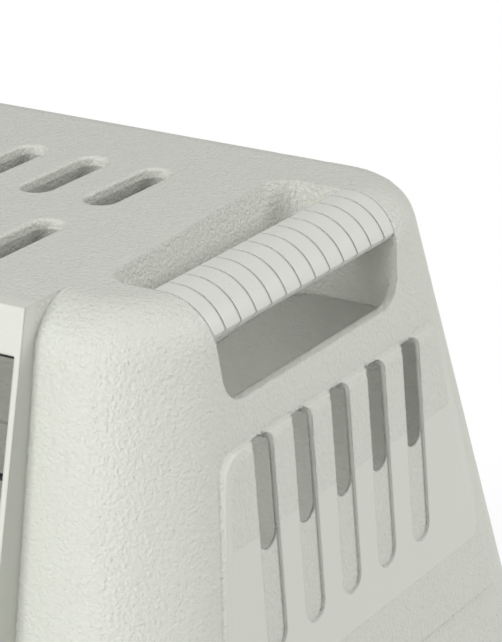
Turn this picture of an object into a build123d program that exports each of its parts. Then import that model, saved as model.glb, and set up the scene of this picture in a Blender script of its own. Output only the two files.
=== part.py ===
from build123d import *
import os
from math import cos, degrees, pi, radians, tan

os.makedirs("parts", exist_ok=True)

# A two-door plastic dog crate for a car boot, in millimetres.
# X runs from end to end, the doors face -Y, Z is up, and the feet stand on Z = 0.

# Crate body: a tapered upper shell on a tub, parted at the seam.
height = 610.0
seam_height = 130.0
roof_width = 706.0
roof_depth = 245.0
end_slope = radians(6.0)
shoulder_slope = radians(9.0)
door_slope = radians(12.0)
back_slope = radians(17.0)
corner_radius = 45.0
edge_radius = 24.0
wall = 4.0
flange_reach = 11.0
flange_thickness = 4.0

# Door frame: it stands proud of the shoulders and rings the opening.
frame_width = 589.0
frame_proud = 8.5
jamb_thickness = 3.0
header_height = 20.0
header_wall = 4.0
ledge_thickness = 4.0
ledge_depth = 38.0

# Roof slots: rows of round-ended slots that run front to back.
roof_slot_length = 59.4
roof_slot_width = 15.7
roof_slot_pitch = 34.6
roof_slot_columns = 15
roof_slot_front = 153.0
roof_row_pitch = 85.4
slot_rim = 1.4
slot_collar_depth = 12.0
slot_collar_wall = 2.5

# Handle pocket at the top of each end, and the grip that bridges it.
pocket_length = 155.5
pocket_front = 44.9
pocket_inset_front = 51.7
pocket_inset_back = 62.0
pocket_depth = 47.0
pocket_draft = 13.0
cheek_draft = 5.5
pocket_wall = 3.0
apron_drop = 4.0
pocket_corner = 14.0
grip_inset = 26.5
grip_drop = 15.5
grip_gap = 0.3
grip_ring_count = 12
grip_ring_pitch = 12.15
grip_ring_width = 1.1
grip_ring_depth = 0.5
spigot_radius = 5.0
spigot_gap = 0.1
screw_radius = 2.0
screw_head_radius = 6.5
screw_head_height = 3.0
screw_grip = 14.0
screw_cross_width = 1.2
screw_cross_depth = 1.2
latch_screw_radius = 1.25
latch_screw_head_radius = 2.6
latch_screw_head_height = 1.6
latch_screw_inset = 4.8

# Vent panels: thin raised skins on each end and on the back, fading into the wall below.
vent_top = 64.5
vent_drop = 146.0
vent_proud = 3.5
vent_fade = 0.8
vent_ramp = 5.0
vent_root = 1.0
vent_skin = 2.5
vent_corner = 11.0
vent_shoulder_rise = 0.75
vent_shoulder_run = 0.4
vent_slot_width = 15.8
vent_slot_pitch = 32.15
vent_slot_drop = 1.3
vent_slot_corner = 3.5
vent_hole_length = 50.0
vent_slot_length = 96.0
vent_groove_depth = 1.4
end_slot_count = 5
end_slot_front = 69.2
end_panel_front = 39.7
end_panel_length = 191.0
end_panel_front_run = 6.0
end_panel_back_run = 12.0
end_panel_front_lean = radians(7.7)
end_panel_back_lean = radians(15.0)
back_slot_count = 7
back_panel_lean = radians(6.0)
back_panel_margin = 34.0
back_panel_run = 8.0

# Tub below the seam.
tub_slope = radians(6.0)
tub_edge_radius = 16.0
floor_rib_count = 7
floor_rib_width = 14.0
floor_rib_height = 2.0
floor_rib_length = 560.0
foot_radius = 17.0
foot_height = 5.0
foot_inset = 70.0
tab_length = 60.0
tab_thickness = 3.0
tab_rise = 9.0
tab_root = 10.0
tab_gap = 0.4

# Doors: welded wire grilles, hung on pins in the header and the sill.
door_recess = 18.0
frame_wire_radius = 2.0
grid_wire_radius = 1.5
hinge_offset = 8.0
door_end_gap = 5.0
pin_reach = 8.0
running_gap = 0.06
post_gap = 4.0
door_vertical_count = 7
door_rail_below_header = 57.0
grid_overlap = 1.1

# Centre post between the doors.
post_width = 30.0
post_front = 6.0
post_wing_width = 50.0
post_wing_thickness = 4.0
post_door_gap = 0.5
post_notch = 112.0
post_screw_spacing = 18.0
ledge_drill_reach = 14.0

# Squeeze latch on each door: two bolts that a spring pushes apart.
latch_length = 100.0
latch_width = 30.0
latch_front = 16.0
latch_cover_thickness = 4.6
latch_wall = 3.0
latch_side_gap = 2.5
bolt_radius = 2.0
bolt_throw = 8.0
bolt_travel = 10.5
bolt_line = 12.0
bolt_gap = 0.5
bolt_hole_gap = 0.5
guide_radius = 4.6
guide_length = 6.0
thumb_length = 20.0
thumb_reach = 8.0
thumb_thickness = 6.0
thumb_side_gap = 0.4
spring_radius = 3.6
spring_wire_radius = 0.55
spring_turns = 7

# Seam clips: hooked plates on pins under the tub's rim.
clip_width = 56.0
clip_thickness = 3.2
clip_drop = 38.0
clip_barrel_radius = 5.0
clip_pin_radius = 2.0
clip_hook = 6.0
clip_gap = 0.35
clip_lip = 5.0
ear_thickness = 4.0
ear_gap = 0.4
end_clip_spacing = 230.0
back_clip_spacing = 420.0

# Places that follow from the sizes above.
upper_height = height - seam_height
clip_reach = clip_gap + clip_thickness + clip_lip
frame_front = -(roof_depth + upper_height * (tan(back_slope) - tan(door_slope)) + clip_reach) / 2
frame_half = frame_width / 2
opening_half = frame_half - jamb_thickness
header_bottom = height - header_height
x_end = roof_width / 2


def end_x(z, inset=0.0):
    """Half width of the upper shell at height z, inset square to the end wall."""
    return x_end + (height - z) * tan(end_slope) - inset / cos(end_slope)


def shoulder_y(z, inset=0.0):
    """Front face beside the door frame."""
    return frame_front + frame_proud - (height - z) * tan(shoulder_slope) + inset / cos(shoulder_slope)


def frame_y(z, inset=0.0):
    """Front face of the door frame."""
    return frame_front - (height - z) * tan(door_slope) + inset / cos(door_slope)


def back_y(z, inset=0.0):
    """Back face of the upper shell."""
    return frame_front + roof_depth + (height - z) * tan(back_slope) - inset / cos(back_slope)


def side_prism(points, half_width):
    """Solid with the (y, z) outline given, centred on X = 0."""
    outline = Plane.YZ * make_face(Polyline(*points, close=True))
    return extrude(outline, half_width, both=True)


def plate(x0, x1, y0, y1, z0, z1):
    return Pos((x0 + x1) / 2, (y0 + y1) / 2, (z0 + z1) / 2) * Box(x1 - x0, y1 - y0, z1 - z0)


def upright_edges(solid):
    return [e for e in solid.edges() if abs((e @ 1 - e @ 0).normalized().Z) > 0.7]


def save(shape, node):
    export_step(shape, f"parts/{node}.step")


def mirrored(shape):
    return mirror(shape, Plane.YZ)


def upper_block(inset, bottom):
    """Outer or inner form of the upper shell, without the door frame."""
    rings = []
    for z in (bottom, height - inset):
        front, back = shoulder_y(z, inset), back_y(z, inset)
        rings.append(Pos(0, (front + back) / 2, z) * Rectangle(2 * end_x(z, inset), back - front))
    block = loft(rings, ruled=True)
    block = fillet(upright_edges(block), corner_radius - inset)
    return fillet(block.faces().sort_by(Axis.Z)[-1].edges(), edge_radius - inset)


def frame_block():
    """Solid door frame, flush with the roof and standing proud of the shoulders."""
    roof_back = shoulder_y(height) + edge_radius * tan((radians(90) - shoulder_slope) / 2)
    points = [
        (frame_y(height), height),
        (frame_y(seam_height), seam_height),
        (shoulder_y(seam_height, wall), seam_height),
        (shoulder_y(height - edge_radius, wall), height - edge_radius),
        (roof_back, height - wall),
        (roof_back, height),
    ]
    return side_prism(points, frame_half)


def ledge(z0, z1):
    """Shelf behind the frame's face that takes the door pins and bolts."""
    points = [
        (frame_y(z0), z0),
        (frame_y(z0) + ledge_depth, z0),
        (frame_y(z0) + ledge_depth, z1),
        (frame_y(z1), z1),
    ]
    return side_prism(points, frame_half)


def rim_outline(reach):
    """Outline of the seam, with the door frame's step at the front."""
    front, back = shoulder_y(seam_height), back_y(seam_height)
    body = Pos(0, (front + back) / 2) * RectangleRounded(
        2 * (end_x(seam_height) + reach), back - front + 2 * reach, corner_radius + reach
    )
    step_front = frame_y(seam_height) - reach
    step = Pos(0, step_front / 2) * Rectangle(frame_width + 2 * reach, -step_front)
    return body + step


# Door space: local X across, local Y square to the doors and inward, local Z up the slope.
door_space = Pos(0, frame_y(seam_height) + door_recess, seam_height) * Rot(X=-degrees(door_slope))
sill_top = seam_height
door_top = (header_bottom - sill_top) / cos(door_slope)
hinge_x = opening_half - hinge_offset
free_x = post_width / 2 + post_gap + frame_wire_radius
rail_low = door_end_gap + frame_wire_radius
rail_high = door_top - rail_low
bolt_x = free_x + bolt_line
grid_rail_n = -(2 * grid_wire_radius - grid_overlap)
bolt_n = grid_rail_n - grid_wire_radius - bolt_gap - bolt_radius
latch_s = door_top / 2
slider_inner = bolt_travel + 1.5
slider_outer = slider_inner + thumb_length


def rod(start, end, radius):
    """Round bar between two points."""
    start, end = Vector(*start), Vector(*end)
    length = (end - start).length
    return Plane(origin=start, z_dir=end - start) * Cylinder(
        radius, length, align=(Align.CENTER, Align.CENTER, Align.MIN)
    )


def door_hole(x, n, radius, top):
    """Hole along the doors' slope, through the header ledge or the sill ledge."""
    middle = door_top if top else 0.0
    return door_space * rod((x, n, middle - ledge_drill_reach), (x, n, middle + ledge_drill_reach), radius)


def ledge_holes(top):
    """Pin and bolt holes in one ledge, for both doors."""
    pin = door_hole(hinge_x, 0, frame_wire_radius + running_gap, top)
    bolt = door_hole(bolt_x, bolt_n, bolt_radius + bolt_hole_gap, top)
    return [pin, bolt, mirrored(pin), mirrored(bolt)]


def post_screw_places():
    y_low = frame_y(sill_top) + door_recess
    y_high = frame_y(header_bottom) + door_recess
    for x in (-post_screw_spacing / 2, post_screw_spacing / 2):
        yield x, y_low, sill_top, -1
        yield x, y_high, header_bottom, 1


def post_screw_holes(side):
    return [
        Pos(x, y, z) * Cylinder(screw_radius + running_gap, 4 * ledge_thickness)
        for x, y, z, way in post_screw_places()
        if way == side
    ]


# Pocket: a drafted well cut down through the roof and out through the end wall.
pocket_y0 = frame_front + pocket_front
pocket_y1 = pocket_y0 + pocket_length
pocket_floor = height - pocket_depth


def pocket_ring(z, grow):
    """Outline of the well at height z, grown outward by the given amount."""
    sink = (height - z) / pocket_depth
    y0 = pocket_y0 + sink * cheek_draft - grow
    y1 = pocket_y1 - sink * cheek_draft + grow
    x0 = x_end - pocket_inset_front + sink * pocket_draft - grow
    x1 = x_end - pocket_inset_back + sink * pocket_draft - grow
    far = x_end + 2 * edge_radius
    return Pos(0, 0, z) * make_face(Polyline((x0, y0), (far, y0), (far, y1), (x1, y1), close=True))


def pocket_well(grow, bottom):
    well = loft([pocket_ring(bottom, grow), pocket_ring(height + 1, grow)], ruled=True)
    inner = [e for e in upright_edges(well) if e.center().X < x_end]
    return fillet(inner, pocket_corner + grow)


def end_side(inset, bottom, top, outside):
    """Everything outboard, or inboard, of the right end wall's plane."""
    far = x_end + 3 * edge_radius if outside else 0.0
    points = [(end_x(bottom, inset), bottom), (far, bottom), (far, top), (end_x(top, inset), top)]
    return extrude(Plane.XZ * make_face(Polyline(*points, close=True)), roof_depth * 2, both=True)


def hand_hole():
    """Cut through the end wall and the rounded edge above it, with rounded lower corners."""
    top = height + 1
    rise = (top - pocket_floor) / pocket_depth * cheek_draft
    y0, y1 = pocket_y0 + cheek_draft, pocket_y1 - cheek_draft
    outline = make_face(
        Polyline((y0, pocket_floor), (y1, pocket_floor), (y1 + rise, top), (y0 - rise, top), close=True)
    )
    lower = outline.vertices().sort_by(Axis.Y)[:2]
    outline = fillet(lower, pocket_corner)
    tunnel = extrude(Plane.YZ * outline, x_end * 2)
    return tunnel & end_side(wall + 0.5, pocket_floor - 1, top, True)


def grip_outline(grow=0.0):
    """Section of the grip in XZ: the shell's rounded profile outside, a half circle inside."""
    arc_x = x_end - edge_radius * tan((radians(90) - end_slope) / 2)
    arc_z = height - edge_radius
    rise = edge_radius - grip_drop
    low = Vector(arc_x + (edge_radius**2 - rise**2) ** 0.5, arc_z + rise)
    top = Vector(x_end - grip_inset, height)
    middle = (low + top) / 2
    round_bar = Pos(middle.X, middle.Y) * Circle((low - top).length / 2 + grow)
    profile = make_face(
        Polyline((0, 0), (arc_x, 0), (arc_x, height + grow), (0, height + grow), close=True)
    ) + Pos(arc_x, arc_z) * Circle(edge_radius + grow)
    inward = (Vector(arc_x, arc_z) - middle).normalized()
    spigot = middle + inward * ((low - top).length / 2 - spigot_radius - 1)
    return round_bar & profile, spigot


# Vent panels, drawn on the right end wall and turned for the back wall.
def vent_slot(y, head, length):
    """Slot with a square head, rounded at its corners, and a round foot."""
    straight = length - vent_slot_width / 2
    bar = Pos(y, head - straight / 2) * Rectangle(vent_slot_width, straight)
    bar = fillet(bar.vertices().sort_by(Axis.Y)[-2:], vent_slot_corner)
    return bar + Pos(y, head - straight) * Circle(vent_slot_width / 2)


def vent_outline(y0, y1, lean0, lean1, drop, corner):
    """Panel outline from its top edge down, with its two upper corners rounded."""
    outline = Polyline(
        (y0, 0), (y1, 0), (y1 + drop * tan(lean1), -drop), (y0 - drop * tan(lean0), -drop), close=True
    )
    outline = make_face(outline)
    return fillet(outline.vertices().sort_by(Axis.Y)[-2:], corner)


def beyond(points, reach):
    """Solid right across the wall from an (x, z) line out to x = reach."""
    (_, top), (_, low) = points[0], points[-1]
    outline = Plane.XZ * make_face(Polyline(*points, (reach, low), (reach, top), close=True))
    return extrude(outline, roof_width, both=True)


def vent_panel(out, y0, y1, lean0, lean1, run0, run1, first_slot, slot_count):
    """Raised panel, and its cuts, on a wall whose distance from the middle is out(z, inset)."""
    top = height - vent_top
    low = top - vent_drop
    crest = top - vent_ramp
    fade = (vent_proud - vent_fade) / (crest - low)

    def face_x(z, inset=0.0):
        return out(z) + vent_proud - (crest - z) * fade - inset

    def ring(rise_head, rise_foot, share):
        """Outline of the panel part of the way up its sloped border."""
        z = top - vent_ramp * share
        x0, x1 = out(z) + rise_head, out(low) + rise_foot
        slope = (x1 - x0) / (z - low)
        drop = (z - low) * (1 + slope**2) ** 0.5
        left = y0 - (top - z) * tan(lean0) + run0 * share
        right = y1 + (top - z) * tan(lean1) - run1 * share
        plane = Plane(origin=(x0, 0, z), x_dir=(0, 1, 0), z_dir=(1, 0, slope))
        return plane * vent_outline(left, right, lean0, lean1, drop, vent_corner)

    foot = ring(-vent_root, -vent_root, 0)
    shoulder = ring(vent_shoulder_rise * vent_proud, vent_shoulder_rise * vent_fade, vent_shoulder_run)
    face = ring(vent_proud, vent_fade, 1)
    raised = loft([foot, shoulder, face], ruled=True)

    reach = out(low) + 10 * vent_proud
    hollow_outline = Pos(0, crest) * vent_outline(
        y0 + run0 + vent_skin, y1 - run1 - vent_skin, lean0, lean1, crest - low, vent_corner - vent_skin
    )
    hollow = extrude(Plane.YZ * hollow_outline, reach)
    hollow &= beyond([(out(crest, 2 * wall), crest), (out(low, 2 * wall), low)], reach)
    hollow -= beyond([(face_x(top, vent_skin), top), (face_x(low - wall, vent_skin), low - wall)], 2 * reach)

    head = top - vent_slot_drop
    grooves, holes = [], []
    for index in range(slot_count):
        y = first_slot + index * vent_slot_pitch
        grooves.append(extrude(Plane.YZ * vent_slot(y, head, vent_slot_length), reach))
        holes.append(extrude(Plane.YZ * vent_slot(y, head, vent_hole_length), reach))
    shallow = [(face_x(top, vent_groove_depth), top), (face_x(low, vent_groove_depth), low)]
    through = [(out(top, 3 * wall), top), (out(low, 3 * wall), low)]
    slots = ((Part() + grooves) & beyond(shallow, reach)) + ((Part() + holes) & beyond(through, reach))
    return raised, [hollow, slots]


def make_shell_end():
    """Left half of the upper shell, with its pocket and its vents."""
    shell = upper_block(0, seam_height) + frame_block()
    shell += rim(seam_height, seam_height + flange_thickness)
    end_y0 = frame_front + end_panel_front
    panel, cuts = vent_panel(
        end_x,
        end_y0,
        end_y0 + end_panel_length,
        end_panel_front_lean,
        end_panel_back_lean,
        end_panel_front_run,
        end_panel_back_run,
        frame_front + end_slot_front,
        end_slot_count,
    )
    shell += mirrored(panel)
    shell -= upper_block(wall, seam_height - 1)

    cavity_floor = header_bottom + ledge_thickness
    cavity_back = frame_y(header_bottom) + ledge_depth
    cavity_top = height - wall
    shell -= side_prism(
        [
            (frame_y(cavity_floor, header_wall), cavity_floor),
            (frame_y(cavity_top, header_wall), cavity_top),
            (cavity_back, cavity_top),
            (cavity_back, cavity_floor),
        ],
        opening_half,
    )
    shell -= plate(
        -opening_half, opening_half, frame_y(seam_height) - 2 * flange_reach, cavity_back,
        seam_height - 1, header_bottom,
    )
    shell += ledge(header_bottom, header_bottom + ledge_thickness)

    apron_bottom = pocket_floor - apron_drop
    shell += mirrored(pocket_well(pocket_wall, apron_bottom) & upper_block(wall / 2, seam_height))
    well = pocket_well(0, apron_bottom - 1)
    well &= end_side(wall + 0.3, apron_bottom - 2, height + 2, False)
    _, spigot = grip_outline()
    spigot_hole = Pos(spigot.X, (pocket_y0 + pocket_y1) / 2, spigot.Y) * Rot(X=90) * Cylinder(
        spigot_radius + spigot_gap, pocket_length + 4 * pocket_wall
    )
    for cut in [well, hand_hole(), spigot_hole] + cuts:
        shell -= mirrored(cut)
    return shell & plate(-2 * x_end, 0, -2 * x_end, 2 * x_end, 0, height + 1)


def make_top_shell():
    half = make_shell_end()
    shell = half + mirrored(half)
    half_row = (back_slot_count - 1) / 2 * vent_slot_pitch
    back_half = half_row + back_panel_margin
    panel, cuts = vent_panel(
        back_y, -back_half, back_half, back_panel_lean, back_panel_lean, back_panel_run, back_panel_run,
        -half_row, back_slot_count,
    )
    shell += Rot(Z=90) * panel
    shell -= [Rot(Z=90) * cut for cut in cuts]
    shell -= ledge_holes(True) + post_screw_holes(1)

    slots, collars = [], []
    for row in range(2):
        y = frame_front + roof_slot_front - row * roof_row_pitch
        for column in range(roof_slot_columns):
            x = (column - (roof_slot_columns - 1) / 2) * roof_slot_pitch
            place = Pos(x, y) * Rot(Z=90)
            slots.append(place * SlotOverall(roof_slot_length, roof_slot_width))
            grow = 2 * slot_collar_wall
            collars.append(place * SlotOverall(roof_slot_length + grow, roof_slot_width + grow))
    collar_low = height - slot_collar_depth
    shell += Pos(0, 0, collar_low) * extrude(Sketch() + collars, slot_collar_depth - wall / 2)
    shell -= Pos(0, 0, collar_low - wall) * extrude(Sketch() + slots, slot_collar_depth + 2 * wall)
    return round_slot_rims(shell)


def round_slot_rims(shell):
    """Rounds the upper edge of each roof slot."""
    lengths = (roof_slot_length - roof_slot_width, pi * roof_slot_width / 2)
    rims = [
        edge
        for edge in shell.edges()
        if min((edge @ place).Z for place in (0, 0.5, 1)) > height - running_gap
        and min(abs(edge.length - length) for length in lengths) < running_gap
    ]
    return fillet(rims, slot_rim)


def rim(z0, z1):
    return Pos(0, 0, z0) * extrude(rim_outline(flange_reach), z1 - z0)


def tub_x(z, inset=0.0):
    return end_x(seam_height) - (seam_height - z) * tan(tub_slope) - inset / cos(tub_slope)


def tub_y(z, front, inset=0.0):
    """Front or back wall of the tub at height z."""
    lean = (seam_height - z) * tan(tub_slope) + inset / cos(tub_slope)
    return shoulder_y(seam_height) + lean if front else back_y(seam_height) - lean


def tub_block(inset, top):
    rings = []
    for z in (foot_height + inset, top):
        front, back = tub_y(z, True, inset), tub_y(z, False, inset)
        rings.append(Pos(0, (front + back) / 2, z) * Rectangle(2 * tub_x(z, inset), back - front))
    block = loft(rings, ruled=True)
    block = fillet(upright_edges(block), corner_radius - inset)
    return fillet(block.faces().sort_by(Axis.Z)[0].edges(), tub_edge_radius - inset)


def sill_block(inset, top):
    """Step at the front of the tub that carries the sill under the doors."""
    low = foot_height + inset
    lean = (seam_height - low) * tan(tub_slope)
    start = frame_y(seam_height) + inset / cos(tub_slope)
    back = shoulder_y(seam_height) + lean + 2 * wall
    points = [(start, seam_height), (start + lean, low), (back, low), (back, seam_height)]
    block = side_prism(points, frame_half - inset)
    front_low = block.edges().filter_by(Axis.X).sort_by(lambda edge: edge.center().Y + edge.center().Z)[0]
    block = fillet(front_low, tub_edge_radius - inset)
    if top < seam_height:
        block &= plate(-x_end, x_end, 2 * start, 0, 0, top)
    return block


# Seam clips: each hangs on a pin between two ears under the rim.
def clip_places():
    """Where the clips sit: name, place at the rim's edge."""
    side_y = (shoulder_y(seam_height) + back_y(seam_height)) / 2
    side_x = end_x(seam_height) + flange_reach
    back = back_y(seam_height) + flange_reach
    for name, y in (("front", side_y - end_clip_spacing / 2), ("rear", side_y + end_clip_spacing / 2)):
        yield f"clip_right_{name}", Pos(side_x, y, seam_height) * Rot(Z=-90)
        yield f"clip_left_{name}", Pos(-side_x, y, seam_height) * Rot(Z=90)
    yield "clip_back_right", Pos(back_clip_spacing / 2, back, seam_height)
    yield "clip_back_left", Pos(-back_clip_spacing / 2, back, seam_height)


def make_clip():
    hook_low = flange_thickness + clip_gap
    hook_top = hook_low + clip_thickness
    outer = clip_gap + clip_thickness
    section = [
        (clip_gap, -clip_drop),
        (clip_gap, hook_low),
        (-clip_hook, hook_low),
        (-clip_hook, hook_top),
        (outer + clip_lip, hook_top),
        (outer + clip_lip, hook_top - clip_thickness * 0.7),
        (outer, hook_low - clip_thickness),
        (outer, -clip_drop),
    ]
    clip = side_prism(section, clip_width / 2)
    across = Pos(0, 0, -clip_drop) * Rot(Y=90)
    clip += across * Cylinder(clip_barrel_radius, clip_width)
    clip -= across * Cylinder(clip_pin_radius + running_gap, clip_width + 2)
    return clip


def make_clip_ears():
    reach = flange_reach + clip_drop * tan(tub_slope) + wall
    ears = Part()
    for side in (-1, 1):
        x = side * (clip_width / 2 + ear_gap + ear_thickness / 2)
        ear = Pos(x, -reach / 2, -(clip_drop + clip_barrel_radius) / 2) * Box(
            ear_thickness, reach, clip_drop + clip_barrel_radius
        )
        ear += Pos(x, 0, -clip_drop) * Rot(Y=90) * Cylinder(clip_barrel_radius, ear_thickness)
        ears += ear
    hole = Pos(0, 0, -clip_drop) * Rot(Y=90) * Cylinder(clip_pin_radius + running_gap, clip_width * 2)
    return ears, hole


def make_clip_pin():
    length = clip_width + 2 * (ear_gap + ear_thickness)
    return Pos(0, 0, -clip_drop) * Rot(Y=90) * Cylinder(clip_pin_radius, length)


def locating_tabs():
    """Upright tongues inside the seam that hold the upper shell in line."""
    top = seam_height + tab_rise
    face = end_x(top, wall) - tab_gap
    side_y = (shoulder_y(seam_height) + back_y(seam_height)) / 2
    tabs = []
    for y in (side_y - end_clip_spacing / 2, side_y + end_clip_spacing / 2):
        y0, y1 = y - tab_length / 2, y + tab_length / 2
        tongue = plate(face - tab_thickness, face, y0, y1, seam_height - tab_root, top)
        root = plate(
            face - tab_thickness, end_x(seam_height, wall / 2), y0, y1, seam_height - tab_root, seam_height
        )
        tabs += [tongue, root, mirrored(tongue), mirrored(root)]
    face = back_y(top, wall) - tab_gap
    for x in (-back_clip_spacing / 2, back_clip_spacing / 2):
        x0, x1 = x - tab_length / 2, x + tab_length / 2
        tabs.append(plate(x0, x1, face - tab_thickness, face, seam_height - tab_root, top))
        tabs.append(
            plate(
                x0, x1, face - tab_thickness, back_y(seam_height, wall / 2), seam_height - tab_root, seam_height
            )
        )
    return tabs


def make_base_shell():
    shell = tub_block(0, seam_height) + sill_block(0, seam_height)
    shell += rim(seam_height - flange_thickness, seam_height)
    ears, ear_hole = make_clip_ears()
    shell += [place * ears for _, place in clip_places()]
    shell -= tub_block(wall, seam_height + 1)
    shell -= sill_block(wall, seam_height - ledge_thickness)
    shell += ledge(sill_top - ledge_thickness, sill_top)
    shell += locating_tabs()
    shell -= [place * ear_hole for _, place in clip_places()]
    rib_room = tub_y(foot_height, False) - tub_y(foot_height, True) - 4 * tub_edge_radius
    for index in range(floor_rib_count):
        y = tub_y(foot_height, True) + 2 * tub_edge_radius + rib_room * (index + 0.5) / floor_rib_count
        floor = foot_height + wall
        shell += plate(
            -floor_rib_length / 2, floor_rib_length / 2, y - floor_rib_width / 2, y + floor_rib_width / 2,
            floor - wall / 2, floor + floor_rib_height,
        )
    shell -= ledge_holes(False) + post_screw_holes(-1)
    return shell


def make_feet():
    x = tub_x(foot_height) - foot_inset
    y0 = tub_y(foot_height, True) + foot_inset
    y1 = tub_y(foot_height, False) - foot_inset
    places = [(x, y0), (x, y1), (-x, y0), (-x, y1)]
    foot = chamfer(
        Cylinder(foot_radius, foot_height).edges().sort_by(Axis.Z)[0], foot_height / 4
    )
    return Compound(children=[Pos(px, py, foot_height / 2) * foot for px, py in places])


def make_grip():
    outline, spigot = grip_outline()
    middle = (pocket_y0 + pocket_y1) / 2
    bar = Pos(0, middle, 0) * extrude(Plane.XZ * outline, pocket_length, both=True)
    between = loft([pocket_ring(pocket_floor, -grip_gap), pocket_ring(height + 1, -grip_gap)], ruled=True)
    bar &= between
    shallow = Plane.XZ * (grip_outline(grow=1.0)[0] - offset(outline, -grip_ring_depth))
    for index in range(grip_ring_count):
        y = middle + (index - (grip_ring_count - 1) / 2) * grip_ring_pitch
        bar -= Pos(0, y, 0) * extrude(shallow, grip_ring_width / 2, both=True)
    draft = cheek_draft / pocket_depth
    seat = pocket_wall + screw_head_radius * draft + spigot_gap
    spigot_length = pocket_length - 2 * draft * (height - spigot.Y) + 2 * seat
    bar += Pos(spigot.X, middle, spigot.Y) * Rot(X=90) * Cylinder(spigot_radius, spigot_length)
    bar -= Pos(spigot.X, middle, spigot.Y) * Rot(X=90) * Cylinder(screw_radius, spigot_length + 2)
    return bar, spigot, middle, spigot_length


def make_screw(grip):
    """Pan-head screw along +Z, its head's seat at the origin and its shank below."""
    head = Cylinder(
        screw_head_radius, screw_head_height, align=(Align.CENTER, Align.CENTER, Align.MIN)
    )
    head = fillet(head.edges().sort_by(Axis.Z)[-1], screw_head_height / 2)
    shank = Cylinder(screw_radius, grip, align=(Align.CENTER, Align.CENTER, Align.MAX))
    long, thin, deep = 3 * screw_radius, screw_cross_width, 2 * screw_cross_depth
    cross = Box(long, thin, deep) + Box(thin, long, deep)
    return head + shank - Pos(0, 0, screw_head_height) * cross


def make_post():
    low, high = -4 * wall, door_top + 4 * wall
    depth = frame_wire_radius + post_door_gap + post_wing_thickness
    web = Box(post_width, post_front + depth, high - low)
    web = fillet(web.edges().filter_by(Axis.Z).sort_by(Axis.Y)[:2], post_front / 2)
    web = Pos(0, (depth - post_front) / 2, (low + high) / 2) * web
    wings = Pos(0, depth - post_wing_thickness / 2, (low + high) / 2) * Box(
        post_wing_width, post_wing_thickness, high - low
    )
    notch = Pos(0, depth, latch_s) * (
        Box(2 * post_wing_width, 4 * depth, post_notch) - Box(post_width, 5 * depth, post_notch + 1)
    )
    post = door_space * (web + (wings - notch))
    post &= plate(-post_wing_width, post_wing_width, -x_end, x_end, sill_top, header_bottom)
    for x, y, z, way in post_screw_places():
        post -= Pos(x, y, z) * Cylinder(screw_radius, 2 * screw_grip)
    return post


def make_door():
    """Right-hand grille: hinge wire, free wire, rails and bars, with two bolt guides."""
    wires = [
        rod((hinge_x, 0, -pin_reach), (hinge_x, 0, door_top + pin_reach), frame_wire_radius),
        rod((free_x, 0, rail_low), (free_x, 0, rail_high), frame_wire_radius),
        rod((free_x, 0, rail_low), (hinge_x, 0, rail_low), frame_wire_radius),
        rod((free_x, 0, rail_high), (hinge_x, 0, rail_high), frame_wire_radius),
        Pos(free_x, 0, rail_low) * Sphere(frame_wire_radius),
        Pos(free_x, 0, rail_high) * Sphere(frame_wire_radius),
    ]
    for index in range(1, door_vertical_count + 1):
        x = free_x + (hinge_x - free_x) * index / (door_vertical_count + 1)
        wires.append(rod((x, 0, rail_low), (x, 0, rail_high), grid_wire_radius))
    for s in door_rails():
        wires.append(rod((free_x, grid_rail_n, s), (hinge_x, grid_rail_n, s), grid_wire_radius))
    for s in (rail_low, rail_high):
        half = guide_length / 2
        wires.append(rod((bolt_x, bolt_n, s - half), (bolt_x, bolt_n, s + half), guide_radius))
    door = Part() + wires
    door -= rod((bolt_x, bolt_n, 0), (bolt_x, bolt_n, door_top), bolt_radius + running_gap)
    return door


def door_rails():
    """Heights of the cross bars between the top and bottom rails."""
    high = door_top - door_rail_below_header / cos(door_slope)
    low = door_top - high
    third = (high - low) / 3
    return [low, low + third, high - third, high]


# Latch pieces of the right-hand door, in door space.
latch_x0 = post_width / 2 + latch_side_gap
latch_x1 = latch_x0 + latch_width
slider_half = min(bolt_x - free_x - frame_wire_radius, latch_x1 - bolt_x) - latch_wall


def latch_box(n0, n1, s0, s1, x0=latch_x0, x1=latch_x1):
    return plate(x0, x1, n0, n1, latch_s + s0, latch_s + s1)


def make_latch_body():
    half = latch_length / 2
    body = latch_box(-latch_front, 0, -half, half)
    body = fillet(body.edges().filter_by(Axis.Z).sort_by(Axis.Y)[:2], latch_wall)
    body -= latch_box(
        -latch_front + latch_wall, 1, -slider_outer - thumb_side_gap, slider_outer + thumb_side_gap,
        bolt_x - slider_half, bolt_x + slider_half,
    )
    thumb_half = thumb_thickness + thumb_side_gap
    slot_end = slider_inner + thumb_length / 2 + thumb_thickness / 2 + thumb_side_gap
    body -= latch_box(-latch_front - 1, 0, -slot_end, slot_end, bolt_x - thumb_half, bolt_x + thumb_half)
    body -= rod((free_x, 0, 0), (free_x, 0, door_top), frame_wire_radius + running_gap)
    body -= rod((bolt_x, bolt_n, 0), (bolt_x, bolt_n, door_top), bolt_radius + running_gap)
    return body - latch_screw_holes()


def latch_screw_axis(s, start, end, radius):
    """Round bar on the axis of a latch screw; s is 1 for the upper screw."""
    x = latch_x1 - latch_screw_inset
    place = latch_s + s * (latch_length / 2 - 2 * latch_wall)
    return rod((x, start, place), (x, end, place), radius)


def latch_screw_holes():
    end = 2 * latch_cover_thickness
    return [latch_screw_axis(s, -latch_front / 2, end, latch_screw_radius) for s in (-1, 1)]


def make_latch_cover():
    half = latch_length / 2
    cover = latch_box(0, latch_cover_thickness, -half, half)
    cover = fillet(cover.edges().filter_by(Axis.Z).sort_by(Axis.Y)[-2:], latch_wall / 2)
    cover -= rod((free_x, 0, 0), (free_x, 0, door_top), frame_wire_radius + running_gap)
    return cover - latch_screw_holes()


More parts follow.
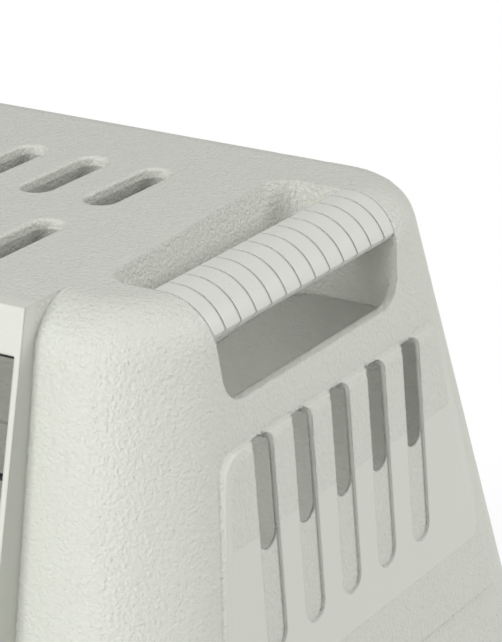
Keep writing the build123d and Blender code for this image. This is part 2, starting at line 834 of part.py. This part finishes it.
def make_latch_screws():
    seat = latch_cover_thickness
    screws = []
    for s in (-1, 1):
        head = latch_screw_axis(s, seat, seat + latch_screw_head_height, latch_screw_head_radius)
        screws.append(head + latch_screw_axis(s, -latch_front / 2, seat, latch_screw_radius))
    return Compound(children=screws)


def make_thumb(way):
    """Thumb slider on the inner end of a bolt; way is 1 for the upper bolt."""
    centre = latch_s + way * (slider_inner + thumb_length / 2)
    n0 = -latch_front + latch_wall + thumb_side_gap
    n1 = -thumb_side_gap
    half_x = slider_half - thumb_side_gap
    block = plate(bolt_x - half_x, bolt_x + half_x, n0, n1, centre - thumb_length / 2, centre + thumb_length / 2)
    grip = plate(
        bolt_x - thumb_thickness, bolt_x + thumb_thickness, -latch_front - thumb_reach, n0 + 1,
        centre - thumb_thickness / 2, centre + thumb_thickness / 2,
    )
    grip = fillet(grip.edges().filter_by(Axis.X).sort_by(Axis.Y)[:2], thumb_thickness / 3)
    socket = rod((bolt_x, bolt_n, centre - way * thumb_length / 4), (bolt_x, bolt_n, centre + way * thumb_length),
                 bolt_radius)
    return block + grip - socket


def make_bolt(way):
    centre = latch_s + way * (slider_inner + thumb_length / 2)
    end = door_top + bolt_throw if way > 0 else -bolt_throw
    bolt = rod((bolt_x, bolt_n, centre - way * thumb_length / 4), (bolt_x, bolt_n, end), bolt_radius)
    tip = bolt.edges().sort_by(Axis.Z)[-1 if way > 0 else 0]
    return chamfer(tip, bolt_radius / 3)


def make_spring():
    length = 2 * (slider_inner - spring_wire_radius)
    coil = Helix(pitch=length / spring_turns, height=length, radius=spring_radius)
    wire = sweep(Plane(origin=coil @ 0, z_dir=coil % 0) * Circle(spring_wire_radius), path=coil, is_frenet=True)
    return Pos(bolt_x, bolt_n, latch_s - length / 2) * wire


def main():
    save(make_top_shell(), "top_shell")
    save(make_base_shell(), "base_shell")
    save(make_feet(), "rubber_feet")

    grip, spigot, middle, spigot_length = make_grip()
    save(grip, "handle_right")
    save(mirrored(grip), "handle_left")
    screws = []
    for way in (-1, 1):
        seat = Pos(spigot.X, middle + way * spigot_length / 2, spigot.Y) * Rot(X=-90 * way)
        screw = seat * make_screw(screw_grip)
        screws += [screw, mirrored(screw)]
    save(Compound(children=screws), "handle_screws")

    save(make_post(), "centre_post")
    screws = []
    for x, y, z, way in post_screw_places():
        turn = Rot() if way > 0 else Rot(X=180)
        screws.append(Pos(x, y, z + way * ledge_thickness) * turn * make_screw(screw_grip))
    save(Compound(children=screws), "post_screws")

    clip = make_clip()
    for name, place in clip_places():
        save(place * clip, name)
    pin = make_clip_pin()
    save(Compound(children=[place * pin for _, place in clip_places()]), "clip_pins")

    door_pieces = {
        "door": make_door(),
        "latch_body": make_latch_body(),
        "latch_cover": make_latch_cover(),
        "latch_screws": make_latch_screws(),
        "latch_spring": make_spring(),
        "thumb_upper": make_thumb(1),
        "thumb_lower": make_thumb(-1),
        "bolt_upper": make_bolt(1),
        "bolt_lower": make_bolt(-1),
    }
    for name, piece in door_pieces.items():
        placed = door_space * piece
        save(placed, f"{name}_right")
        save(mirrored(placed), f"{name}_left")



main()
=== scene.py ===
from math import radians

import bpy
from mathutils import Matrix, Vector

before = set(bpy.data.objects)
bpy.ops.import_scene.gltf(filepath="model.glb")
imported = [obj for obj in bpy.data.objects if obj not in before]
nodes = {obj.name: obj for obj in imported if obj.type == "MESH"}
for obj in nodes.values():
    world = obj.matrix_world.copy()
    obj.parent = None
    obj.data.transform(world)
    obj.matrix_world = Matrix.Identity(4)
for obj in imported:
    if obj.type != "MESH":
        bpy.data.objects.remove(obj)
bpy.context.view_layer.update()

# ---------------------------------------------------------------------------
# Upper shell. One injection moulding in pale warm-grey polypropylene, about
# 4 mm thick. Its outside is etched with a fine leather grain, but the door
# frame's lip and the grooves under the vents come out of the mould smooth.
shell_colour = (0.605, 0.618, 0.560)
shell_roughness = 0.40
grain_size = 0.0018
grain_depth = 0.00070
edge_round = 0.0017
# Painted shade: the faces inside the shell are darkened to this share of its colour, standing in for the
# shade inside the crate.
painted_inner_shade = 0.66

# The shell's outer planes, from the CAD: where each stands at the roof, and its lean.
roof_height = 0.61
shoulder_at_roof = -0.14064
shoulder_lean = 0.1584
end_at_roof = 0.353
end_lean = 0.1051
back_at_roof = 0.0959
back_lean = 0.3057
shell_wall = 0.0045
grip_pocket_x = 0.280
lip_start = 0.001
groove_height = 0.0021
groove_band = 0.0007


def texture(tree, kind, place, **settings):
    """A texture node with its settings, read at the given place on the piece."""
    pattern = tree.nodes.new(kind)
    for setting, value in settings.items():
        if setting in pattern.inputs:
            pattern.inputs[setting].default_value = value
        else:
            setattr(pattern, setting, value)
    tree.links.new(place, pattern.inputs["Vector"])
    return pattern


def noise(tree, place, **settings):
    """The grey value of a noise texture."""
    return texture(tree, "ShaderNodeTexNoise", place, **settings).outputs["Fac"]


def calculate(tree, operation, *values):
    """A maths node whose inputs are sockets or plain numbers."""
    step = tree.nodes.new("ShaderNodeMath")
    step.operation = operation
    for socket, value in zip(step.inputs, values):
        if isinstance(value, (int, float)):
            socket.default_value = value
        else:
            tree.links.new(value, socket)
    return step.outputs["Value"]


def tint(tree, factor, dark, light):
    """A colour between two shades."""
    blend = tree.nodes.new("ShaderNodeMix")
    blend.data_type = "RGBA"
    tree.links.new(factor, blend.inputs["Factor"])
    blend.inputs["A"].default_value = (*dark, 1)
    blend.inputs["B"].default_value = (*light, 1)
    return blend.outputs["Result"]


def tone(colour, share):
    """The colour made darker or lighter."""
    return [min(1.0, share * part) for part in colour]


def flow_marks(tree, place, colour):
    """The plastic's colour with faint flow marks and fine specks."""
    flow = calculate(tree, "MULTIPLY", noise(tree, place, Scale=7.0, Detail=4.0), 0.7)
    speck = calculate(tree, "MULTIPLY", noise(tree, place, Scale=900.0, Detail=2.0), 0.3)
    mottle = calculate(tree, "ADD", flow, speck)
    return tint(tree, mottle, tone(colour, 0.955), tone(colour, 1.035))


def leather_grain(tree, place):
    """Height of the etched grain: soft cells with wandering creases between them."""
    wander = texture(tree, "ShaderNodeTexNoise", place, Scale=420.0, Detail=3.0)
    drift = tree.nodes.new("ShaderNodeVectorMath")
    drift.operation = "MULTIPLY_ADD"
    tree.links.new(wander.outputs["Color"], drift.inputs[0])
    drift.inputs[1].default_value = (grain_size,) * 3
    tree.links.new(place, drift.inputs[2])
    wandered = drift.outputs["Vector"]
    cell_look = {"feature": "SMOOTH_F1", "Scale": 1 / grain_size, "Smoothness": 0.6}
    cells = texture(tree, "ShaderNodeTexVoronoi", wandered, **cell_look).outputs["Distance"]
    creases = calculate(tree, "MULTIPLY", noise(tree, wandered, Scale=480.0, Detail=3.0), 0.9)
    fine = calculate(tree, "MULTIPLY", noise(tree, place, Scale=1300.0, Detail=2.0), 0.5)
    wrinkles = calculate(tree, "ADD", creases, fine)
    return calculate(tree, "SUBTRACT", wrinkles, calculate(tree, "MULTIPLY", cells, 0.6))


def moulded_plastic(name, colour, roughness, grain, etched=None, painted_shade_mask=None, rounding=edge_round):
    """Moulded plastic with flow marks, handling scuffs, and leather grain of a given depth.

    etched gives 1 where the grain is and 0 where it is left out. The painted-shade mask gives 1 on the
    faces inside, which are darkened to stand in for the shade there.
    """
    material = bpy.data.materials.new(name)
    material.use_nodes = True
    tree = material.node_tree
    skin = tree.nodes["Principled BSDF"]
    place = tree.nodes.new("ShaderNodeTexCoord").outputs["Object"]

    shown = flow_marks(tree, place, colour)
    # Painted shade: faces inside are blended towards a darker copy of the colour, standing in for the shade
    # inside the crate.
    if painted_shade_mask is not None:
        painted_shade_mix = tree.nodes.new("ShaderNodeMix")
        painted_shade_mix.data_type = "RGBA"
        tree.links.new(painted_shade_mask(tree, place), painted_shade_mix.inputs["Factor"])
        tree.links.new(shown, painted_shade_mix.inputs["A"])
        painted_shade_mix.inputs["B"].default_value = (*tone(colour, painted_inner_shade), 1)
        shown = painted_shade_mix.outputs["Result"]
    tree.links.new(shown, skin.inputs["Base Color"])

    scuff = noise(tree, place, Scale=45.0, Detail=6.0, Roughness=0.7)
    worn = calculate(tree, "MULTIPLY", calculate(tree, "SUBTRACT", scuff, 0.5), 0.22)
    tree.links.new(calculate(tree, "ADD", worn, roughness), skin.inputs["Roughness"])
    skin.inputs["Specular IOR Level"].default_value = 0.5

    leather = leather_grain(tree, place)
    if etched is not None:
        leather = calculate(tree, "MULTIPLY", leather, etched(tree, place))
    edges = tree.nodes.new("ShaderNodeBevel")
    edges.samples = 6
    edges.inputs["Radius"].default_value = rounding
    relief = tree.nodes.new("ShaderNodeBump")
    relief.inputs["Strength"].default_value = 1.0
    relief.inputs["Distance"].default_value = grain
    tree.links.new(leather, relief.inputs["Height"])
    tree.links.new(edges.outputs["Normal"], relief.inputs["Normal"])
    tree.links.new(relief.outputs["Normal"], skin.inputs["Normal"])
    return material


def dress(node, material):
    """Gives a CAD piece its finish."""
    piece = nodes[node]
    piece.data.materials.clear()
    piece.data.materials.append(material)
    for face in piece.data.polygons:
        face.material_index = 0


def read_place(tree, place):
    """The sockets for x, y and z, and the drop below the roof."""
    spread = tree.nodes.new("ShaderNodeSeparateXYZ")
    tree.links.new(place, spread.inputs["Vector"])
    x, y, z = (spread.outputs[axis] for axis in "XYZ")
    return x, y, z, calculate(tree, "SUBTRACT", roof_height, z)


def grained(tree, place):
    """1 on the leather grain, and 0 on the door frame's lip and in the grooves under the vents."""
    x, y, _, drop = read_place(tree, place)
    lean = calculate(tree, "MULTIPLY", drop, shoulder_lean)
    shoulder = calculate(tree, "SUBTRACT", shoulder_at_roof, lean)
    behind_lip = calculate(tree, "GREATER_THAN", y, calculate(tree, "SUBTRACT", shoulder, lip_start))
    end = calculate(tree, "ADD", end_at_roof, calculate(tree, "MULTIPLY", drop, end_lean))
    raised = calculate(tree, "SUBTRACT", calculate(tree, "ABSOLUTE", x), end)
    off_groove = calculate(tree, "ABSOLUTE", calculate(tree, "SUBTRACT", raised, groove_height))
    outside_groove = calculate(tree, "GREATER_THAN", off_groove, groove_band)
    return calculate(tree, "MULTIPLY", behind_lip, outside_groove)


def painted_shade_inside(tree, place):
    """Mask for painted shade: 1 on the faces inside the shell and down the roof slots, which are darkened
    to stand in for the shade there, 0 outside and round the grips.
    """
    x, y, z, drop = read_place(tree, place)
    between_grips = calculate(tree, "LESS_THAN", calculate(tree, "ABSOLUTE", x), grip_pocket_x)
    under_roof = calculate(tree, "LESS_THAN", z, roof_height - shell_wall)
    front_lean = calculate(tree, "MULTIPLY", drop, shoulder_lean)
    front = calculate(tree, "SUBTRACT", shoulder_at_roof + shell_wall, front_lean)
    back = calculate(tree, "ADD", back_at_roof - shell_wall, calculate(tree, "MULTIPLY", drop, back_lean))
    behind_front = calculate(tree, "GREATER_THAN", y, front)
    before_back = calculate(tree, "LESS_THAN", y, back)
    inside = calculate(tree, "MULTIPLY", behind_front, before_back)
    return calculate(tree, "MULTIPLY", calculate(tree, "MULTIPLY", inside, under_roof), between_grips)


# The faces inside the shell get painted shade: a darker colour that stands in for the shade inside the
# crate.
shell_plastic = moulded_plastic(
    "shell_plastic", shell_colour, shell_roughness, grain_depth, etched=grained, painted_shade_mask=painted_shade_inside
)
dress("top_shell", shell_plastic)

# ---------------------------------------------------------------------------
# Tub. The lower half is the same polypropylene in the same grain, moulded as
# one tray with its rim, ears and sill, and clipped to the upper shell.
tub_colour = (0.560, 0.574, 0.520)
tub_edge = 0.0015
tub_plastic = moulded_plastic("tub_plastic", tub_colour, shell_roughness, grain_depth, rounding=tub_edge)
dress("base_shell", tub_plastic)

# ---------------------------------------------------------------------------
# Feet. Four soft rubber pads with a matte moulded skin, pushed on under the
# corners of the tub.
rubber_colour = (0.035, 0.036, 0.036)
rubber_roughness = 0.72
rubber_grain = 0.00008
rubber_edge = 0.0006
rubber = moulded_plastic("foot_rubber", rubber_colour, rubber_roughness, rubber_grain, rounding=rubber_edge)
dress("rubber_feet", rubber)

# ---------------------------------------------------------------------------
# Grips. Each is a smooth satin bar with twelve moulded rings, and it is
# screwed between the cheeks of its pocket.
grip_colour = (0.640, 0.650, 0.602)
grip_roughness = 0.30
grip_grain = 0.00002
grip_edge = 0.0009
grip_plastic = moulded_plastic("grip_plastic", grip_colour, grip_roughness, grip_grain, rounding=grip_edge)
dress("handle_right", grip_plastic)
dress("handle_left", grip_plastic)

# ---------------------------------------------------------------------------
# Screws. Zinc-plated pan heads that hold the grips and the centre post, and
# small ones that close the latches.
zinc_colour = (0.55, 0.56, 0.57)
zinc_roughness = 0.32
zinc_lines = 900.0


def metal(name, colour, roughness, metallic, lines):
    """Metal or painted metal with fine drawing lines and a slightly uneven sheen."""
    material = bpy.data.materials.new(name)
    material.use_nodes = True
    tree = material.node_tree
    skin = tree.nodes["Principled BSDF"]
    skin.inputs["Metallic"].default_value = metallic
    place = tree.nodes.new("ShaderNodeTexCoord").outputs["Object"]
    bloom = noise(tree, place, Scale=60.0, Detail=4.0)
    clouded = tint(tree, bloom, tone(colour, 0.85), tone(colour, 1.15))
    tree.links.new(clouded, skin.inputs["Base Color"])
    streak = noise(tree, place, Scale=lines, Detail=3.0)
    sheen = calculate(tree, "MULTIPLY", calculate(tree, "SUBTRACT", streak, 0.5), 0.2)
    tree.links.new(calculate(tree, "ADD", sheen, roughness), skin.inputs["Roughness"])
    relief = tree.nodes.new("ShaderNodeBump")
    relief.inputs["Distance"].default_value = 0.00003
    tree.links.new(streak, relief.inputs["Height"])
    tree.links.new(relief.outputs["Normal"], skin.inputs["Normal"])
    return material


zinc = metal("zinc_plate", zinc_colour, zinc_roughness, 1.0, zinc_lines)
for node in ("handle_screws", "post_screws", "latch_screws_right", "latch_screws_left"):
    dress(node, zinc)

# ---------------------------------------------------------------------------
# Doors. Welded steel wire under a glossy black powder coat, with a plain pin
# at each end of the hinge wire.
coat_colour = (0.012, 0.012, 0.013)
coat_roughness = 0.22
coat_lines = 500.0
black_coat = metal("black_coat", coat_colour, coat_roughness, 0.0, coat_lines)
dress("door_right", black_coat)
dress("door_left", black_coat)

# ---------------------------------------------------------------------------
# Centre post. A moulded stop in the shell's plastic between the two doors,
# screwed to the header and the sill.
post_plastic = moulded_plastic("post_plastic", shell_colour, shell_roughness, grain_depth)
dress("centre_post", post_plastic)

# ---------------------------------------------------------------------------
# Latches. Dark grey moulded bodies and covers, closed round the doors' free
# wire, with lighter thumb sliders on bright steel bolts, and a steel spring.
latch_colour = (0.055, 0.057, 0.058)
latch_roughness = 0.45
latch_grain = 0.00010
latch_edge = 0.0007
thumb_colour = (0.30, 0.305, 0.29)
thumb_roughness = 0.40
thumb_grain = 0.00006
bolt_colour = (0.60, 0.60, 0.61)
bolt_roughness = 0.22
bolt_lines = 700.0
spring_colour = (0.42, 0.42, 0.43)
spring_roughness = 0.30
spring_lines = 1200.0
latch_plastic = moulded_plastic(
    "latch_plastic", latch_colour, latch_roughness, latch_grain, rounding=latch_edge
)
thumb_plastic = moulded_plastic(
    "thumb_plastic", thumb_colour, thumb_roughness, thumb_grain, rounding=latch_edge
)
bolt_steel = metal("bolt_steel", bolt_colour, bolt_roughness, 1.0, bolt_lines)
spring_steel = metal("spring_steel", spring_colour, spring_roughness, 1.0, spring_lines)
for side in ("right", "left"):
    dress(f"latch_body_{side}", latch_plastic)
    dress(f"latch_cover_{side}", latch_plastic)
    dress(f"latch_spring_{side}", spring_steel)
    for level in ("upper", "lower"):
        dress(f"thumb_{level}_{side}", thumb_plastic)
        dress(f"bolt_{level}_{side}", bolt_steel)

# ---------------------------------------------------------------------------
# Seam clips. Six dark grey moulded hooks that turn on steel pins between the
# tub's ears and snap over the upper shell's rim.
clip_colour = (0.075, 0.078, 0.079)
clip_roughness = 0.42
clip_grain = 0.00008
clip_edge = 0.0007
clip_plastic = moulded_plastic("clip_plastic", clip_colour, clip_roughness, clip_grain, rounding=clip_edge)
for node in nodes:
    if node.startswith("clip_") and node != "clip_pins":
        dress(node, clip_plastic)
dress("clip_pins", bolt_steel)

# ---------------------------------------------------------------------------
# Studio. A pale seamless floor that goes to white away from the crate, an even
# sky, and three soft lamps: at the front, at the rear right, and a weak one overhead.
floor_reach = 12.0
floor_colour = (0.86, 0.86, 0.85)
floor_roughness = 0.9
shadow_radius = 0.55
white_radius = 1.10
shadow_whiteness = 0.72
sky_strength = 0.42

floor_mesh = bpy.data.meshes.new("studio_floor")
near, far = -floor_reach, floor_reach
corners = [(near, near, 0), (far, near, 0), (far, far, 0), (near, far, 0)]
floor_mesh.from_pydata(corners, [], [(0, 1, 2, 3)])
floor = bpy.data.objects.new("studio_floor", floor_mesh)
bpy.context.scene.collection.objects.link(floor)
paper = bpy.data.materials.new("floor_paper")
paper.use_nodes = True
tree = paper.node_tree
skin = tree.nodes["Principled BSDF"]
skin.inputs["Base Color"].default_value = (*floor_colour, 1)
skin.inputs["Roughness"].default_value = floor_roughness
glow = tree.nodes.new("ShaderNodeEmission")
rays = tree.nodes.new("ShaderNodeLightPath")
blend = tree.nodes.new("ShaderNodeMixShader")
away = tree.nodes.new("ShaderNodeVectorMath")
away.operation = "LENGTH"
tree.links.new(tree.nodes.new("ShaderNodeTexCoord").outputs["Object"], away.inputs[0])
fade = tree.nodes.new("ShaderNodeMapRange")
fade.inputs["From Min"].default_value = shadow_radius
fade.inputs["From Max"].default_value = white_radius
fade.inputs["To Min"].default_value = shadow_whiteness
fade.inputs["To Max"].default_value = 1.0
tree.links.new(away.outputs["Value"], fade.inputs["Value"])
bright = calculate(tree, "MULTIPLY", rays.outputs["Is Camera Ray"], fade.outputs["Result"])
tree.links.new(bright, blend.inputs["Fac"])
tree.links.new(skin.outputs["BSDF"], blend.inputs[1])
tree.links.new(glow.outputs["Emission"], blend.inputs[2])
tree.links.new(blend.outputs["Shader"], tree.nodes["Material Output"].inputs["Surface"])
floor_mesh.materials.append(paper)

sky = bpy.data.worlds.new("studio_sky")
sky.use_nodes = True
background = sky.node_tree.nodes["Background"]
background.inputs["Color"].default_value = (1, 1, 1, 1)
background.inputs["Strength"].default_value = sky_strength
bpy.context.scene.world = sky


def softbox(name, place, aim, width, watts):
    """A square studio lamp at a place, turned to what it lights."""
    lamp = bpy.data.lights.new(name, "AREA")
    lamp.size = width
    lamp.energy = watts
    holder = bpy.data.objects.new(name, lamp)
    holder.location = place
    holder.rotation_euler = (Vector(aim) - Vector(place)).to_track_quat("-Z", "Y").to_euler()
    bpy.context.scene.collection.objects.link(holder)


softbox("front_lamp", place=(0.0, -2.9, 1.5), aim=(0, 0, 0.4), width=1.4, watts=60.0)
softbox("rear_right_lamp", place=(2.6, 1.6, 2.1), aim=(0, 0, 0.5), width=1.2, watts=48.0)
softbox("roof_lamp", place=(0.3, -0.4, 3.0), aim=(0, 0, 0.6), width=0.8, watts=10.0)

# ---------------------------------------------------------------------------
# Camera. A long lens close to one top corner of the crate, with the picture's
# long side upright, as in the photograph.
camera_place = (0.9294, -1.0201, 1.0082)
camera_azimuth = radians(31.3)
camera_elevation = radians(20.6)
camera_roll = radians(0.0)
focal_length_pixels = 2874
image_long_side_pixels = 642
sensor_width = 36

camera = bpy.data.cameras.new("camera")
camera.sensor_width = sensor_width
camera.lens = sensor_width * focal_length_pixels / image_long_side_pixels
tripod = bpy.data.objects.new("camera", camera)
turned = Matrix.Rotation(camera_azimuth, 4, "Z") @ Matrix.Rotation(radians(90) - camera_elevation, 4, "X")
tripod.matrix_world = Matrix.Translation(camera_place) @ turned @ Matrix.Rotation(camera_roll, 4, "Z")
bpy.context.scene.collection.objects.link(tripod)
bpy.context.scene.camera = tripod
bpy.context.scene.view_settings.view_transform = "Standard"
